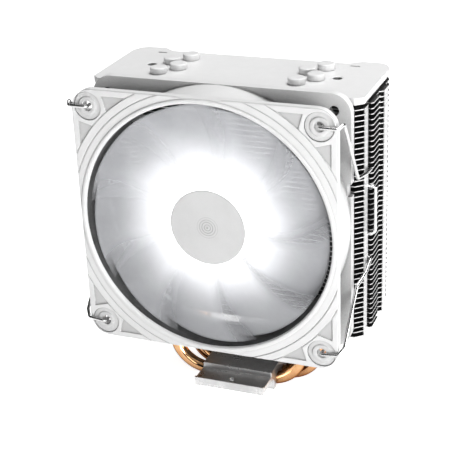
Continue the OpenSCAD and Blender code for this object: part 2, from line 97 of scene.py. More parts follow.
def grid_faces(rows, columns, wrap_rows=False, wrap_columns=False):
    """Quads of a grid of rows by columns: each joins a point, the next one along its row, and the
    two beside them in the next row. A wrapped side joins the last line to the first."""
    row = np.arange(rows if wrap_rows else rows - 1)[:, None]
    column = np.arange(columns if wrap_columns else columns - 1)[None, :]
    next_row, next_column = (row + 1) % rows, (column + 1) % columns
    quads = np.stack(np.broadcast_arrays(
        row * columns + column, row * columns + next_column,
        next_row * columns + next_column, next_row * columns + column), axis=-1)
    return quads.reshape(-1, 4)


def lathe(profile, sides, centre):
    """Points and quads of a closed profile turned about the fan's axis: the point at angle a is
    centre + (r sin a, depth, r cos a), with profile rows of (r, depth)."""
    angle = np.arange(sides) * 2 * math.pi / sides
    r, depth = np.asarray(profile).T
    points = np.stack([
        np.outer(np.sin(angle), r), np.outer(np.ones(sides), depth), np.outer(np.cos(angle), r)
    ], axis=-1) + np.asarray(centre)
    return points, grid_faces(sides, len(profile), wrap_rows=True, wrap_columns=True)


def turned_up(profile, sides, centre):
    """Points and quads of a closed profile turned about a vertical line: the point at angle a is
    centre + (r cos a, r sin a, height), with profile rows of (r, height)."""
    points, faces = lathe(profile, sides, (0, 0, 0))
    return np.roll(points, 1, axis=-1) + np.asarray(centre), faces


def rounded(corners, radius, steps=4):
    """A closed outline with each corner replaced by steps + 1 points of a curve: the point at share
    t is (1-t)^2 times the start, plus 2t(1-t) times the corner, plus t^2 times the end."""
    corners = np.asarray(corners, float)
    radius = np.broadcast_to(radius, len(corners))[:, None]
    before = np.roll(corners, 1, axis=0) - corners
    after = np.roll(corners, -1, axis=0) - corners
    long_before = np.linalg.norm(before, axis=1, keepdims=True)
    long_after = np.linalg.norm(after, axis=1, keepdims=True)
    start = corners + before / long_before * np.minimum(radius, long_before * 0.49)
    end = corners + after / long_after * np.minimum(radius, long_after * 0.49)
    t = np.linspace(0, 1, steps + 1)[None, :, None]
    curve = (1 - t) ** 2 * start[:, None] + 2 * t * (1 - t) * corners[:, None] + t * t * end[:, None]
    return curve.reshape(-1, 2)


def joined(parts):
    """Several lists of points and quads as one."""
    points, faces, count = [], [], 0
    for part_points, part_faces in parts:
        flat = part_points.reshape(-1, 3)
        points.append(flat)
        faces.append(part_faces + count)
        count += len(flat)
    return np.concatenate(points), np.concatenate(faces)


# ---------- shader helpers ----------

def add(tree, kind, **settings):
    """A shader node of a kind, with its settings."""
    node = tree.nodes.new("ShaderNode" + kind)
    for key, value in settings.items():
        setattr(node, key, value)
    return node


def put(tree, socket, value):
    """Links a socket to another, or sets its own value."""
    if isinstance(value, bpy.types.NodeSocket):
        tree.links.new(value, socket)
    elif value is not None:
        socket.default_value = value


def maths(tree, operation, first, second=None):
    """The result of a Math node on one or two values."""
    node = add(tree, "Math", operation=operation)
    put(tree, node.inputs[0], first)
    put(tree, node.inputs[1], second)
    return node.outputs[0]


def remap(tree, value, low, high, new_low=0.0, new_high=1.0, smooth=False):
    """A value carried from one range to another, and held at the ends."""
    node = add(tree, "MapRange", clamp=True)
    if smooth:
        node.interpolation_type = "SMOOTHSTEP"
    for socket, setting in zip(node.inputs, (value, low, high, new_low, new_high)):
        put(tree, socket, setting)
    return node.outputs[0]


def blend_colour(tree, share, first, second):
    """The first colour, led towards the second by a share from 0 to 1."""
    node = add(tree, "Mix", data_type="RGBA")
    put(tree, node.inputs[0], share)
    put(tree, node.inputs[6], first)
    put(tree, node.inputs[7], second)
    return node.outputs[2]


def noise(tree, place, scale, detail, roughness):
    """Noise from 0 to 1 at a place, in repeats per metre."""
    node = add(tree, "TexNoise")
    put(tree, node.inputs["Vector"], place)
    put(tree, node.inputs["Scale"], scale)
    node.inputs["Detail"].default_value = detail
    node.inputs["Roughness"].default_value = roughness
    return node.outputs[0]


def stretched(tree, place, scale):
    """Object coordinates scaled by a vector, so that noise becomes lines."""
    node = add(tree, "Mapping")
    put(tree, node.inputs["Vector"], place)
    put(tree, node.inputs["Scale"], scale)
    return node.outputs[0]


def object_place(tree):
    """The point's own object coordinates, in metres."""
    return add(tree, "TexCoord").outputs["Object"]


def new_group(name, inputs, outputs):
    """A shader node group with named sockets; inputs and outputs are (name, kind, value) rows."""
    tree = bpy.data.node_groups.new(name, "ShaderNodeTree")
    kinds = {"value": "NodeSocketFloat", "colour": "NodeSocketColor", "vector": "NodeSocketVector"}
    for label, kind, value in inputs:
        socket = tree.interface.new_socket(label, in_out="INPUT", socket_type=kinds[kind])
        socket.default_value = value
    for label, kind in outputs:
        tree.interface.new_socket(label, in_out="OUTPUT", socket_type=kinds[kind])
    return tree, tree.nodes.new("NodeGroupInput").outputs, tree.nodes.new("NodeGroupOutput").inputs


def place_group(tree, group, **values):
    """A shared effect in a tree: an underscore in a value's name stands for a space."""
    node = tree.nodes.new("ShaderNodeGroup")
    node.node_tree = group
    for label, value in values.items():
        put(tree, node.inputs[label.replace("_", " ")], value)
    return node.outputs


# ---------- shared effects ----------

def make_drift_group():
    """Slow colour drift: soft blotches and a finer mottle lead from one colour to another, and
    the same blotches lead the roughness from one value to another, as handling and dust do."""
    tree, given, result = new_group(
        "colour drift",
        [("Main", "colour", (0.8, 0.8, 0.8, 1)), ("Shade", "colour", (0.6, 0.6, 0.6, 1)),
         ("Scale", "value", 40), ("Amount", "value", 0.5),
         ("Rough Low", "value", 0.3), ("Rough High", "value", 0.5)],
        [("Colour", "colour"), ("Roughness", "value")])
    place = object_place(tree)
    blotch = noise(tree, place, given["Scale"], 2, 0.55)
    mottle = noise(tree, place, maths(tree, "MULTIPLY", given["Scale"], 7.0), 3, 0.6)
    both = maths(tree, "ADD", maths(tree, "MULTIPLY", blotch, 0.7),
                 maths(tree, "MULTIPLY", mottle, 0.3))
    share = remap(tree, both, 0.35, 0.65, 0, 1, smooth=True)
    colour = blend_colour(tree, maths(tree, "MULTIPLY", share, given["Amount"]),
                          given["Main"], given["Shade"])
    put(tree, result["Colour"], colour)
    put(tree, result["Roughness"],
        remap(tree, both, 0.38, 0.62, given["Rough Low"], given["Rough High"]))
    return tree


def make_grain_group():
    """Spark-eroded mould grain: fine noise cut into small flat-topped grains, over a soft ripple."""
    tree, given, result = new_group(
        "moulded grain", [("Scale", "value", 2500), ("Ripple", "value", 0.3)], [("Height", "value")])
    place = object_place(tree)
    grain = remap(tree, noise(tree, place, given["Scale"], 2, 0.5), 0.35, 0.6)
    ripple = noise(tree, place, 60.0, 2, 0.5)
    put(tree, result["Height"],
        maths(tree, "ADD", grain, maths(tree, "MULTIPLY", ripple, given["Ripple"])))
    return tree


def make_brush_group():
    """Brushed lines: noise squeezed along one way, at two widths, gives a height and streaks."""
    tree, given, result = new_group(
        "brushed lines", [("Squeeze", "vector", (10, 1000, 1000))],
        [("Height", "value"), ("Streak", "value")])
    place = stretched(tree, object_place(tree), given["Squeeze"])
    fine = noise(tree, place, 1.0, 3, 0.6)
    wide = noise(tree, place, 0.25, 2, 0.5)
    put(tree, result["Height"], maths(tree, "ADD", fine, wide))
    put(tree, result["Streak"], remap(tree, maths(tree, "ADD", fine, wide), 0.75, 1.25))
    return tree


def make_edge_highlight_and_hollow_shade_group():
    """Painted edge highlights and painted hollow shade. The normal averaged over a small radius rounds each sharp
    edge, and where it turns away from the face's own normal there is an edge, which the materials paint
    lighter as a highlight. Light kept out from a wider radius marks hollows, which the materials paint darker as
    shade."""
    tree, given, result = new_group(
        "edges and hollows", [("Edge Width", "value", 0.4 * MM), ("Hollow Width", "value", 4 * MM)],
        [("Edge", "value"), ("Hollow", "value"), ("Soft Normal", "vector")])
    rounding = add(tree, "Bevel", samples=6)
    put(tree, rounding.inputs["Radius"], given["Edge Width"])
    alike = add(tree, "VectorMath", operation="DOT_PRODUCT")
    put(tree, alike.inputs[0], rounding.outputs[0])
    put(tree, alike.inputs[1], add(tree, "NewGeometry").outputs["Normal"])
    # Edge mask for a painted highlight, broken up by noise
    broken = remap(tree, noise(tree, object_place(tree), 500.0, 2, 0.6), 0.25, 0.55)
    edge = remap(tree, alike.outputs["Value"], 0.80, 0.99, 1, 0)
    put(tree, result["Edge"], maths(tree, "MULTIPLY", edge, broken))
    # Hollow mask for painted shade, from light kept out by nearby surfaces
    outside = add(tree, "AmbientOcclusion", inside=False, samples=6)
    put(tree, outside.inputs["Distance"], given["Hollow Width"])
    put(tree, result["Hollow"], remap(tree, outside.outputs["AO"], 0.25, 0.95, 1, 0))
    put(tree, result["Soft Normal"], rounding.outputs[0])
    return tree


def make_axis_group():
    """Distance from the fan's axis, and depth behind the fan's front face."""
    tree, _, result = new_group("fan axis distance", [], [("Radius", "value"), ("Depth", "value")])
    centred = add(tree, "Mapping")
    put(tree, centred.inputs["Vector"], object_place(tree))
    centred.inputs["Location"].default_value = (-FAN_FRONT.x, -FAN_FRONT.y, -FAN_FRONT.z)
    split = add(tree, "SeparateXYZ")
    put(tree, split.inputs[0], centred.outputs[0])
    across = maths(tree, "MULTIPLY", split.outputs[0], split.outputs[0])
    upward = maths(tree, "MULTIPLY", split.outputs[2], split.outputs[2])
    put(tree, result["Radius"], maths(tree, "SQRT", maths(tree, "ADD", across, upward)))
    put(tree, result["Depth"], split.outputs[1])
    return tree


def make_glow_group():
    """Lamp light carried out by the frosted blades: the share of light falls smoothly with the
    distance from the fan's axis, from the near radius to the far one, then is raised to a power."""
    tree, given, result = new_group(
        "lamp glow",
        [("Near", "value", 0.02), ("Far", "value", 0.05), ("Power", "value", 1.5)],
        [("Glow", "value")])
    radius = place_group(tree, AXIS)["Radius"]
    fall = remap(tree, radius, given["Near"], given["Far"], 1, 0)
    put(tree, result["Glow"], maths(tree, "POWER", fall, given["Power"]))
    return tree


AXIS = make_axis_group()
DRIFT = make_drift_group()
GRAIN = make_grain_group()
BRUSH = make_brush_group()
EDGE_HIGHLIGHT_AND_HOLLOW_SHADE = make_edge_highlight_and_hollow_shade_group()
GLOW = make_glow_group()


# ---------- materials ----------

def new_material(name, metallic=0.0, **sockets):
    """A material with a Principled shader; plain values go on the shader's own sockets."""
    material = bpy.data.materials.new(name)
    material.use_nodes = True
    tree = material.node_tree
    shader = tree.nodes["Principled BSDF"]
    shader.inputs["Metallic"].default_value = metallic
    for label, value in sockets.items():
        put(tree, shader.inputs[label.replace("_", " ")], value)
    return material, tree, shader


def set_bump(tree, shader, height, distance, normal=None):
    """Relief of a given height in metres, over the plain normal or another one."""
    bump = add(tree, "Bump")
    bump.inputs["Distance"].default_value = distance
    put(tree, bump.inputs["Height"], height)
    put(tree, bump.inputs["Normal"], normal)
    put(tree, shader.inputs["Normal"], bump.outputs[0])


def grey(value):
    """A grey as a colour with alpha."""
    return (value, value, value, 1)


def coated_white(name, main, shade, rough, grain_scale, grain_depth, coat=0.0, hollow=0.6):
    """White plastic or paint: mould grain, slow drift, painted shade in hollows and a painted highlight on edges.
    """
    material, tree, shader = new_material(name, Coat_Weight=coat, Coat_Roughness=0.2)
    drift = place_group(tree, DRIFT, Main=main, Shade=shade, Scale=35.0, Amount=0.6,
                        Rough_Low=rough - 0.06, Rough_High=rough + 0.08)
    highlight_and_shade = place_group(tree, EDGE_HIGHLIGHT_AND_HOLLOW_SHADE, Edge_Width=0.5 * MM, Hollow_Width=4 * MM)
    # Painted shade: hollows led towards grey
    hollow_shaded = blend_colour(tree, maths(tree, "MULTIPLY", highlight_and_shade["Hollow"], hollow), drift["Colour"],
                         grey(0.38))
    # Painted highlight: edges led towards near-white
    colour = blend_colour(tree, maths(tree, "MULTIPLY", highlight_and_shade["Edge"], 0.5), hollow_shaded, grey(0.93))
    put(tree, shader.inputs["Base Color"], colour)
    put(tree, shader.inputs["Roughness"], drift["Roughness"])
    grain = place_group(tree, GRAIN, Scale=grain_scale, Ripple=0.4)
    set_bump(tree, shader, grain["Height"], grain_depth, highlight_and_shade["Soft Normal"])
    return material


def frame_plastic():
    """The fan frame's satin plastic. Its recessed floors are a little greyer, and so are the walls that
    lie back between the two flanges: both are painted shade, as are thin dark lines in creases, and the edges
    carry a painted highlight."""
    material, tree, shader = new_material("satin_white_plastic", Coat_Weight=0.12, Coat_Roughness=0.2)
    drift = place_group(tree, DRIFT, Main=grey(0.84), Shade=grey(0.78), Scale=35.0, Amount=0.6,
                        Rough_Low=0.30, Rough_High=0.44)
    highlight_and_shade = place_group(tree, EDGE_HIGHLIGHT_AND_HOLLOW_SHADE, Edge_Width=0.5 * MM, Hollow_Width=1.5 * MM)
    wide_hollow_shade = place_group(tree, EDGE_HIGHLIGHT_AND_HOLLOW_SHADE, Edge_Width=0.5 * MM, Hollow_Width=30 * MM)
    place = place_group(tree, AXIS)
    depth = place["Depth"]
    # Painted shade: recessed floors led towards grey
    sunk = maths(tree, "MULTIPLY", remap(tree, depth, 0.35 * MM, 0.5 * MM),
                 remap(tree, depth, 1.3 * MM, 1.5 * MM, 1, 0))
    floor = maths(tree, "MULTIPLY", sunk, remap(tree, place["Radius"], 60.5 * MM, 61 * MM))
    shaded = blend_colour(tree, maths(tree, "MULTIPLY", floor, 0.5), drift["Colour"], grey(0.36))
    # Painted shade: thin dark lines in narrow hollows and creases
    crease_shaded = blend_colour(tree, maths(tree, "MULTIPLY", highlight_and_shade["Hollow"], 0.8), shaded, grey(0.2))
    # Painted shade: walls lying back between the flanges, where a wide hollow keeps light out
    back = remap(tree, depth, 4 * MM, 9 * MM)
    flange_gap_shade = maths(tree, "MULTIPLY", wide_hollow_shade["Hollow"], back)
    hollow = blend_colour(tree, maths(tree, "MULTIPLY", flange_gap_shade, 0.9), crease_shaded, grey(0.12))
    # Painted highlight on the edges
    colour = blend_colour(tree, maths(tree, "MULTIPLY", highlight_and_shade["Edge"], 0.5), hollow, grey(0.94))
    put(tree, shader.inputs["Base Color"], colour)
    put(tree, shader.inputs["Roughness"], drift["Roughness"])
    grain = place_group(tree, GRAIN, Scale=2300.0, Ripple=0.4)
    set_bump(tree, shader, grain["Height"], 0.04 * MM, highlight_and_shade["Soft Normal"])
    return material


def cover_paint():
    """White paint over sheet metal, with painted shade in the two countersunk holes: the colour there
    is led to near-black where the holes lie in shade."""
    material = coated_white("white_painted_metal", grey(0.86), grey(0.80), 0.42, 3200.0, 0.03 * MM,
                            coat=0.05)
    tree = material.node_tree
    shader = tree.nodes["Principled BSDF"]
    low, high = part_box("top_cover")
    split = add(tree, "SeparateXYZ")
    put(tree, split.inputs[0], object_place(tree))
    across = maths(tree, "SUBTRACT", maths(tree, "ABSOLUTE", split.outputs[0]), COVER_SCREW_X)
    along = maths(tree, "SUBTRACT", split.outputs[1], (low.y + high.y) / 2)
    away = maths(tree, "SQRT", maths(tree, "ADD", maths(tree, "MULTIPLY", across, across),
                                     maths(tree, "MULTIPLY", along, along)))
    # Painted shade: near-black within a small radius of each countersunk hole
    hole_shade = remap(tree, away, 1.9 * MM, 2.3 * MM, 1, 0)
    painted = shader.inputs["Base Color"].links[0].from_socket
    put(tree, shader.inputs["Base Color"], blend_colour(tree, hole_shade, painted, grey(0.03)))
    return material


def brushed_metal(name, main, shade, rough, squeeze, depth, edge=0.4, metallic=1.0, hollow=0.3,
                  reach=3 * MM):
    """Metal with brushed lines, darker streaks along them, painted shade in hollows and painted highlights on
    edges.
    """
    material, tree, shader = new_material(name, metallic=metallic)
    brush = place_group(tree, BRUSH, Squeeze=squeeze)
    drift = place_group(tree, DRIFT, Main=main, Shade=shade, Scale=90.0, Amount=0.7,
                        Rough_Low=rough - 0.05, Rough_High=rough + 0.07)
    streaked = blend_colour(tree, maths(tree, "MULTIPLY", brush["Streak"], 0.35), drift["Colour"], shade)
    highlight_and_shade = place_group(tree, EDGE_HIGHLIGHT_AND_HOLLOW_SHADE, Edge_Width=0.4 * MM, Hollow_Width=reach)
    # Painted shade: hollows led towards near-black
    shaded = blend_colour(tree, maths(tree, "MULTIPLY", highlight_and_shade["Hollow"], hollow), streaked, grey(0.06))
    # Painted highlight: edges led towards near-white
    colour = blend_colour(tree, maths(tree, "MULTIPLY", highlight_and_shade["Edge"], edge), shaded, grey(0.95))
    put(tree, shader.inputs["Base Color"], colour)
    put(tree, shader.inputs["Roughness"],
        maths(tree, "ADD", drift["Roughness"], maths(tree, "MULTIPLY", brush["Streak"], 0.08)))
    set_bump(tree, shader, brush["Height"], depth, highlight_and_shade["Soft Normal"])
    return material


def plain_part(name, main, shade, rough, metallic=0.0, grain_scale=1500.0, grain_depth=0.04 * MM):
    """A small inner part: drifting colour and a fine grain."""
    material, tree, shader = new_material(name, metallic=metallic)
    drift = place_group(tree, DRIFT, Main=main, Shade=shade, Scale=150.0, Amount=0.8,
                        Rough_Low=rough - 0.08, Rough_High=rough + 0.08)
    put(tree, shader.inputs["Base Color"], drift["Colour"])
    put(tree, shader.inputs["Roughness"], drift["Roughness"])
    grain = place_group(tree, GRAIN, Scale=grain_scale, Ripple=0.2)
    set_bump(tree, shader, grain["Height"], grain_depth)
    return material


def fin_metal():
    """Thin plated sheet: bright cut edges, and faces that the next fin keeps in shade."""
    material, tree, shader = new_material("fin_sheet", metallic=0.75)
    drift = place_group(tree, DRIFT, Main=grey(0.68), Shade=grey(0.55), Scale=120.0, Amount=0.6,
                        Rough_Low=0.28, Rough_High=0.42)
    split = add(tree, "SeparateXYZ")
    put(tree, split.inputs[0], add(tree, "NewGeometry").outputs["True Normal"])
    flat = remap(tree, maths(tree, "ABSOLUTE", split.outputs[2]), 0.3, 0.8)
    colour = blend_colour(tree, flat, drift["Colour"], grey(0.08))
    put(tree, shader.inputs["Base Color"], colour)
    put(tree, shader.inputs["Roughness"], drift["Roughness"])
    brush = place_group(tree, BRUSH, Squeeze=(900.0, 60.0, 900.0))
    set_bump(tree, shader, brush["Height"], 0.02 * MM)
    return material


def bright_copper():
    """Drawn copper tube: fine drawing lines, a few browner patches, and a dark brown that darkens it
    in hollows and, as painted shade, where it is seen at a slant."""
    material, tree, shader = new_material("drawn_copper", metallic=1.0)
    drift = place_group(tree, DRIFT, Main=(0.95, 0.56, 0.28, 1), Shade=(0.58, 0.26, 0.10, 1),
                        Scale=110.0, Amount=0.5, Rough_Low=0.07, Rough_High=0.15)
    brush = place_group(tree, BRUSH, Squeeze=(120.0, 1400.0, 120.0))
    streaked = blend_colour(tree, maths(tree, "MULTIPLY", brush["Streak"], 0.25), drift["Colour"],
                            (0.70, 0.36, 0.19, 1))
    highlight_and_shade = place_group(tree, EDGE_HIGHLIGHT_AND_HOLLOW_SHADE, Edge_Width=0.2 * MM, Hollow_Width=12 * MM)
    # Painted shade where the tube is seen at a slant, joined with darkening in hollows
    slant = add(tree, "LayerWeight")
    slant.inputs["Blend"].default_value = 0.5
    rim = remap(tree, slant.outputs["Facing"], 0.45, 0.9)
    slant_shade_and_hollow_darkening = maths(tree, "MAXIMUM", highlight_and_shade["Hollow"], rim)
    colour = blend_colour(tree, maths(tree, "MULTIPLY", slant_shade_and_hollow_darkening, 0.85), streaked,
                          (0.10, 0.035, 0.012, 1))
    put(tree, shader.inputs["Base Color"], colour)
    put(tree, shader.inputs["Specular Tint"], (0.22, 0.08, 0.03, 1))
    put(tree, shader.inputs["Roughness"], drift["Roughness"])
    set_bump(tree, shader, brush["Height"], 0.02 * MM)
    return material


def frosted_blade():
    """Clear frosted plastic that carries the lamps' light: milky and bright near the hub, and
    clearer and greyer towards the tips and towards the thin edges of the blades."""
    material, tree, shader = new_material("frosted_plastic", IOR=1.49)
    glow = place_group(tree, GLOW, Near=HUB_R - 2 * MM, Far=TIP_R + 2 * MM, Power=2.8)
    drift = place_group(tree, DRIFT, Main=(0.80, 0.81, 0.84, 1), Shade=(0.68, 0.69, 0.72, 1),
                        Scale=60.0, Amount=0.6, Rough_Low=0.40, Rough_High=0.55)
    milky = remap(tree, glow["Glow"], 0.0, 0.5)
    body = add(tree, "Attribute", attribute_name="blade_body").outputs["Fac"]
    put(tree, shader.inputs["Base Color"],
        blend_colour(tree, milky, drift["Colour"], (0.38, 0.39, 0.42, 1)))
    put(tree, shader.inputs["Roughness"], drift["Roughness"])
    put(tree, shader.inputs["Alpha"],
        maths(tree, "MULTIPLY", remap(tree, milky, 0.0, 1.0, 0.37, 0.97),
              remap(tree, body, 0.0, 1.0, 0.15, 1.0)))
    put(tree, shader.inputs["Emission Color"],
        blend_colour(tree, glow["Glow"], (0.0, 0.0, 0.0, 1), (1, 1, 1, 1)))
    shader.inputs["Emission Strength"].default_value = 1.5
    grain = place_group(tree, GRAIN, Scale=1800.0, Ripple=0.5)
    set_bump(tree, shader, grain["Height"], 0.03 * MM)
    return material


def disc_label():
    """Turned satin disc: fine rings close to the middle and a darker line near its rim."""
    material, tree, shader = new_material("satin_disc")
    drift = place_group(tree, DRIFT, Main=grey(0.69), Shade=grey(0.63), Scale=90.0, Amount=0.5,
                        Rough_Low=0.36, Rough_High=0.48)
    radius = place_group(tree, AXIS)["Radius"]
    turns = maths(tree, "MULTIPLY", radius, 2 * math.pi / (1.15 * MM))
    wave = remap(tree, maths(tree, "SINE", turns), -0.2, 0.9)
    middle = remap(tree, radius, 2.5 * MM, 6.5 * MM, 1, 0, smooth=True)
    ring = maths(tree, "MULTIPLY", wave, middle)
    rim = remap(tree, radius, DISC_R - 0.5 * MM, DISC_R - 0.1 * MM)
    marked = blend_colour(tree, maths(tree, "MULTIPLY", ring, 0.55), drift["Colour"], grey(0.25))
    put(tree, shader.inputs["Base Color"], blend_colour(tree, maths(tree, "MULTIPLY", rim, 0.6),
                                                        marked, grey(0.3)))
    put(tree, shader.inputs["Roughness"], drift["Roughness"])
    grain = place_group(tree, GRAIN, Scale=2200.0, Ripple=0.3)
    set_bump(tree, shader, grain["Height"], 0.02 * MM)
    return material


def lit_lamp():
    """Small lamp body with a glowing lens."""
    material, tree, shader = new_material("lamp_lens", Emission_Strength=6.0)
    drift = place_group(tree, DRIFT, Main=grey(0.95), Shade=grey(0.85), Scale=800.0, Amount=0.5,
                        Rough_Low=0.2, Rough_High=0.3)
    put(tree, shader.inputs["Base Color"], drift["Colour"])
    put(tree, shader.inputs["Emission Color"], drift["Colour"])
    put(tree, shader.inputs["Roughness"], drift["Roughness"])
    return material


def ribbed(name, main, shade, rough, metallic, squeeze, depth):
    """Layered or wound metal: lines across one way, such as laminations or turns of wire."""
    material, tree, shader = new_material(name, metallic=metallic)
    waves = add(tree, "TexWave", wave_type="BANDS", bands_direction="Y")
    put(tree, waves.inputs["Vector"], object_place(tree))
    waves.inputs["Scale"].default_value = squeeze
    waves.inputs["Distortion"].default_value = 0.4
    drift = place_group(tree, DRIFT, Main=main, Shade=shade, Scale=200.0, Amount=0.5,
                        Rough_Low=rough - 0.06, Rough_High=rough + 0.08)
    put(tree, shader.inputs["Base Color"],
        blend_colour(tree, maths(tree, "MULTIPLY", waves.outputs["Fac"], 0.6), shade, drift["Colour"]))
    put(tree, shader.inputs["Roughness"], drift["Roughness"])
    set_bump(tree, shader, waves.outputs["Fac"], depth)
    return material


def make_materials():
    """All materials by the name of the slot they fill."""
    return {
        "white_plastic": frame_plastic(),
        "white_metal": cover_paint(),
        "cap_white": coated_white("white_painted_cap", grey(0.84), grey(0.76), 0.36, 3000.0,
                                  0.02 * MM),
        "fin_metal": fin_metal(),
        "base_metal": brushed_metal("milled_aluminium", grey(0.88), grey(0.60), 0.27,
                                    (40.0, 1500.0, 1500.0), 0.03 * MM, edge=0.9, metallic=0.95,
                                    hollow=0.5, reach=4 * MM),
        "copper": bright_copper(),
        "frosted": frosted_blade(),
        "disc_grey": disc_label(),
        "soft_pad": coated_white("soft_white_pad", grey(0.74), grey(0.64), 0.55, 1500.0, 0.05 * MM),
        "strip_rubber": plain_part("grey_rubber", grey(0.08), grey(0.04), 0.75),
        "wire_steel": brushed_metal("bright_nickel_wire", grey(0.78), grey(0.55), 0.16,
                                    (300.0, 300.0, 60.0), 0.01 * MM, edge=0.2),
        "shaft_steel": brushed_metal("ground_steel", grey(0.72), grey(0.5), 0.2,
                                     (60.0, 900.0, 60.0), 0.01 * MM),
        "yoke_steel": brushed_metal("pressed_steel", grey(0.5), grey(0.36), 0.35,
                                    (60.0, 900.0, 60.0), 0.02 * MM),
        "magnet": plain_part("bonded_magnet", grey(0.03), grey(0.05), 0.6, 0.2),
        "core_steel": ribbed("laminated_steel", grey(0.45), grey(0.2), 0.4, 1.0, 320.0, 0.05 * MM),
        "winding": ribbed("enamelled_copper_wire", (0.75, 0.33, 0.12, 1), (0.35, 0.13, 0.05, 1),
                          0.3, 0.9, 600.0, 0.12 * MM),
        "bobbin": plain_part("cream_nylon", (0.75, 0.72, 0.60, 1), (0.66, 0.62, 0.50, 1), 0.5),
        "board": plain_part("white_board", (0.72, 0.75, 0.72, 1), (0.55, 0.62, 0.57, 1), 0.4),
        "chip": plain_part("moulded_black", grey(0.02), grey(0.035), 0.45),
        "lamp": lit_lamp(),
        "bronze": plain_part("sintered_bronze", (0.60, 0.40, 0.18, 1), (0.45, 0.28, 0.12, 1), 0.4,
                             1.0, 3000.0, 0.05 * MM),
        "label": plain_part("silver_foil", grey(0.7), grey(0.6), 0.35, 0.8),
        "nylon": plain_part("clear_nylon", (0.7, 0.7, 0.66, 1), (0.6, 0.6, 0.56, 1), 0.45),
    }


# ---------- pieces ----------

def make_hub_and_blades(material):
    """Hub shell turned from a rounded profile, and nine wide swept blades round it."""
    wall = 1.6 * MM
    bore = 1.6 * MM
    seat = HUB_FACE + 0.62 * MM
    shell = rounded([
        (DISC_R, HUB_FACE + 0.5 * MM), (DISC_R, HUB_FACE - 0.1 * MM), (HUB_R, HUB_FACE),
        (HUB_R, HUB_SIDE), (HUB_R - wall, HUB_SIDE), (HUB_R - wall, HUB_FACE + wall),
        (bore, HUB_FACE + wall), (bore, seat), (DISC_R, seat)
    ], np.array([0.05, 0.2, 1.4, 0.3, 0.3, 0.6, 0.1, 0.1, 0.02]) * MM)
    hub = lathe(shell, 128, FAN_FRONT)
    blades = [blade(k * 2 * math.pi / BLADES) for k in range(BLADES)]
    points, faces = joined([hub] + [each[:2] for each in blades])
    piece = new_piece("frosted_impeller", points, faces, material, "rotor", ["impeller"])
    body = np.concatenate([np.ones(len(hub[0].reshape(-1, 3)))] + [each[2] for each in blades])
    piece.data.attributes.new("blade_body", "FLOAT", "POINT").data.foreach_set("value", body)


def blade(turn):
    """One blade as a closed grid. Its middle sheet, at share s of the way out and share c of the
    way from its front edge to its back edge, has
      radius = hub + s (tip - hub),
      angle = turn + lean s^1.6 + spread(s) (c - 1/2),
      depth = front + c (back - front) + camber sin(pi c),
    and the two faces lie half a thickness to either side, with the thickness falling to nothing
    along the front and back edges as the fourth root of c (1 - c). The third list gives each point's
    share of the full body, 3 d^2 - 2 d^3 with d the share from the nearer edge over the margin."""
    rows, columns = 36, 28
    margin = 0.28
    s = np.linspace(0, 1, rows)[:, None]
    c = (1 - np.cos(np.linspace(0, math.pi, columns)))[None, :] / 2
    root = HUB_R - 0.5 * MM
    radius = root + s * (TIP_R - root)
    lean = math.radians(-16) * s ** 1.6
    spread = math.radians(64) - math.radians(10) * s
    angle = turn + lean + spread * (c - 0.5)
    front = HUB_FACE + (1.2 - 2.2 * s) * MM
    back = HUB_SIDE - (1.0 + 8.5 * s) * MM
    depth = front + c * (back - front) - 1.4 * MM * np.sin(math.pi * c)
    thickness = (1.3 - 0.4 * s) * MM * np.clip(4 * c * (1 - c), 0, 1) ** 0.25
    middle = np.stack([radius * np.sin(angle) + 0 * depth, depth + 0 * angle,
                       radius * np.cos(angle) + 0 * depth], axis=-1)
    along = np.gradient(middle, axis=0)
    across = np.gradient(middle, axis=1)
    normal = np.cross(along, across)
    normal /= np.linalg.norm(normal, axis=-1, keepdims=True)
    front_face = middle + normal * thickness[..., None] / 2
    back_face = middle - normal * thickness[..., None] / 2
    loop = np.concatenate([front_face, back_face[:, -2:0:-1]], axis=1)
    count = loop.shape[1]
    tube = grid_faces(rows, count, wrap_columns=True)
    ends = [cap_faces(row * count, columns, count) for row in (0, rows - 1)]
    inward = np.clip(np.minimum(c, 1 - c) / margin, 0, 1)[0]
    share = inward ** 2 * (3 - 2 * inward)
    body = np.tile(np.concatenate([share, share[-2:0:-1]]), rows)
    return loop + np.array(FAN_FRONT), np.concatenate([tube] + ends), body


def cap_faces(first, columns, count):
    """Quads across one end of a flattened tube, each joining two points of the front face to the
    two opposite them on the back face."""
    near = np.arange(columns - 1)
    far = (count - near) % count
    return np.stack([near, near + 1, (count - near - 1) % count, far], axis=-1) + first


def make_hub_disc(material):
    """The disc on the hub: a flat face with a soft rim, and shallow rings about a small dimple."""
    middle = 0.02 * MM
    back = HUB_FACE + 0.55 * MM
    edge = rounded([(middle, back), (middle, HUB_FACE - 0.15 * MM),
                    (DISC_R, HUB_FACE - 0.1 * MM), (DISC_R, back)],
                   np.array([0.01, 0.01, 0.35, 0.1]) * MM)
    front = np.linspace(middle, DISC_R - 0.6 * MM, 160)
    near_axis = np.clip(1 - front / (5.5 * MM), 0, 1)
    rings = 0.10 * MM * near_axis * np.cos(front / (1.1 * MM) * 2 * math.pi)
    face = np.stack([front, HUB_FACE - 0.12 * MM + rings], axis=1)
    rim = edge[edge[:, 0] > DISC_R - 0.4 * MM]
    profile = np.concatenate([face, rim, [(middle, back)]])
    points, faces = lathe(profile, 96, FAN_FRONT)
    new_piece("hub_cover_disc", points, faces, material, "rotor", ["hub_disc"])


